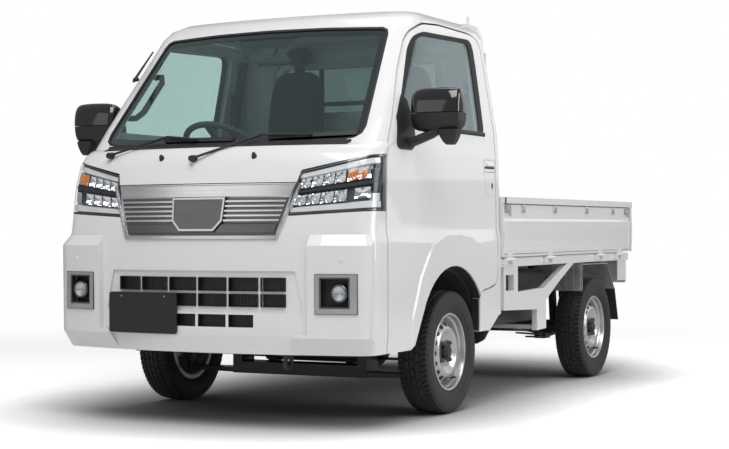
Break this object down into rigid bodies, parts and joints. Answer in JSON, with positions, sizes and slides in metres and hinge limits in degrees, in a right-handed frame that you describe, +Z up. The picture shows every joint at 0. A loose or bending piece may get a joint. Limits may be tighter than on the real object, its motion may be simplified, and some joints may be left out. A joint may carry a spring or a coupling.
{
  "type": "kei truck",
  "caption": "Cab-over light pickup with a flat bed, hinged drop sides and tailgate, guard frame, opening doors, steered front wheels and rolling wheels.",
  "frame": {"origin": "on the ground, at the middle of the length and width", "axes": "+Z up, -Y towards the truck's front, +X towards its left side"},
  "size_m": [1.892, 3.395, 1.78],
  "materials": {
    "white_paint": "gloss",
    "glass": "clear",
    "chassis_black": "satin",
    "cast_metal": "rough",
    "tank_grey": "satin",
    "dark_liner": "matte",
    "silver_trim": "brushed",
    "lamp_clear": "clear",
    "plate_black": "satin",
    "cabin_plastic": "grained",
    "seat_fabric": "woven",
    "galvanised": "galvanised",
    "black_rubber": "matte",
    "lamp_red": "gloss",
    "mirror_black": "gloss",
    "black_plastic": "grained",
    "steel_wheel": "silver",
    "tyre": "matte"
  },
  "bodies": {
    "cab_and_chassis": {"chassis_frame": "chassis_black", "cross_members": "chassis_black", "front_suspension": "chassis_black", "rear_axle": "chassis_black", "engine_block": "cast_metal", "gearbox_and_propshaft": "cast_metal", "fuel_tank": "tank_grey", "exhaust": "cast_metal", "nose_bulkhead": "dark_liner", "cab_floor": "dark_liner", "seat_riser": "dark_liner", "cab_roof": "white_paint", "cab_rear_wall": "white_paint", "cab_side_panels": "white_paint", "windscreen_frame": "white_paint", "front_panel": "white_paint", "bumper": "white_paint", "grille": "silver_trim", "headlamps": "lamp_clear", "windscreen": "glass", "rear_window": "glass", "number_plates": "plate_black", "dashboard": "cabin_plastic", "steering_column": "cabin_plastic", "seat_driver": "seat_fabric", "seat_passenger": "seat_fabric", "bed_floor": "white_paint", "bed_frame": "white_paint", "guard_frame": "white_paint", "side_braces": "white_paint", "rear_fenders": "galvanised", "mud_flaps": "black_rubber", "rear_panel": "white_paint", "tail_lamps": "lamp_red", "fog_lamps": "black_plastic", "wipers": "black_plastic"},
    "door_left": {"door_left": "white_paint", "door_glass_left": "glass", "mirror_left": "mirror_black"},
    "door_right": {"door_right": "white_paint", "door_glass_right": "glass", "mirror_right": "mirror_black"},
    "gate_left": {"gate_left": "white_paint"},
    "gate_right": {"gate_right": "white_paint"},
    "tailgate": {"tailgate": "white_paint"},
    "knuckle_left": {"knuckle_left": "cast_metal"},
    "knuckle_right": {"knuckle_right": "cast_metal"},
    "wheel_front_left": {"rim_front_left": "steel_wheel", "tyre_front_left": "tyre"},
    "wheel_front_right": {"rim_front_right": "steel_wheel", "tyre_front_right": "tyre"},
    "wheel_rear_left": {"rim_rear_left": "steel_wheel", "tyre_rear_left": "tyre"},
    "wheel_rear_right": {"rim_rear_right": "steel_wheel", "tyre_rear_right": "tyre"},
    "steering_wheel": {"steering_wheel": "cabin_plastic"},
    "tie_rods": {"tie_rods": "cast_metal"}
  },
  "joints": [
    {"name": "door_left_swing", "type": "hinge", "parent": "cab_and_chassis", "child": "door_left", "pos_m": [0.719, -1.4181, 0.9], "axis": [0, 0, -1], "range_deg": [0, 65]},
    {"name": "gate_left_drop", "type": "hinge", "parent": "cab_and_chassis", "child": "gate_left", "pos_m": [0.731, 0.72, 0.648], "axis": [0, 1, 0], "range_deg": [0, 165]},
    {"name": "steer_left", "type": "hinge", "parent": "cab_and_chassis", "child": "knuckle_left", "pos_m": [0.5825, -0.8025, 0.264], "axis": [-0.1908, 0, 0.9816], "range_deg": [-35, 35]},
    {"name": "wheel_front_left_spin", "type": "hinge", "parent": "knuckle_left", "child": "wheel_front_left", "pos_m": [0.6525, -0.8025, 0.264], "axis": [1, 0, 0], "continuous": true},
    {"name": "wheel_rear_left_spin", "type": "hinge", "parent": "cab_and_chassis", "child": "wheel_rear_left", "pos_m": [0.65, 1.0975, 0.264], "axis": [1, 0, 0], "continuous": true},
    {"name": "door_right_swing", "type": "hinge", "parent": "cab_and_chassis", "child": "door_right", "pos_m": [-0.719, -1.4181, 0.9], "axis": [0, 0, 1], "range_deg": [0, 65]},
    {"name": "gate_right_drop", "type": "hinge", "parent": "cab_and_chassis", "child": "gate_right", "pos_m": [-0.731, 0.72, 0.648], "axis": [0, -1, 0], "range_deg": [0, 165]},
    {"name": "steer_right", "type": "hinge", "parent": "cab_and_chassis", "child": "knuckle_right", "pos_m": [-0.5825, -0.8025, 0.264], "axis": [0.1908, 0, 0.9816], "range_deg": [-35, 35]},
    {"name": "wheel_front_right_spin", "type": "hinge", "parent": "knuckle_right", "child": "wheel_front_right", "pos_m": [-0.6525, -0.8025, 0.264], "axis": [1, 0, 0], "continuous": true},
    {"name": "wheel_rear_right_spin", "type": "hinge", "parent": "cab_and_chassis", "child": "wheel_rear_right", "pos_m": [-0.65, 1.0975, 0.264], "axis": [1, 0, 0], "continuous": true},
    {"name": "tailgate_drop", "type": "hinge", "parent": "cab_and_chassis", "child": "tailgate", "pos_m": [0, 1.691, 0.648], "axis": [-1, 0, 0], "range_deg": [0, 165]},
    {"name": "steering_wheel_turn", "type": "hinge", "parent": "cab_and_chassis", "child": "steering_wheel", "pos_m": [-0.272, -1.0505, 1.151], "axis": [0, 0.5736, 0.8192], "range_deg": [-565, 565]},
    {"name": "tie_rods_slide", "type": "slide", "parent": "cab_and_chassis", "child": "tie_rods", "axis": [-1, 0, 0], "range_m": [-0.055, 0.055]}
  ],
  "couplings": [
    {"joint": "steer_right", "follows": "steer_left", "ratio": 1},
    {"joint": "steering_wheel_turn", "follows": "steer_left", "ratio": 16},
    {"joint": "tie_rods_slide", "follows": "steer_left", "m_per_rad": 0.0845}
  ]
}
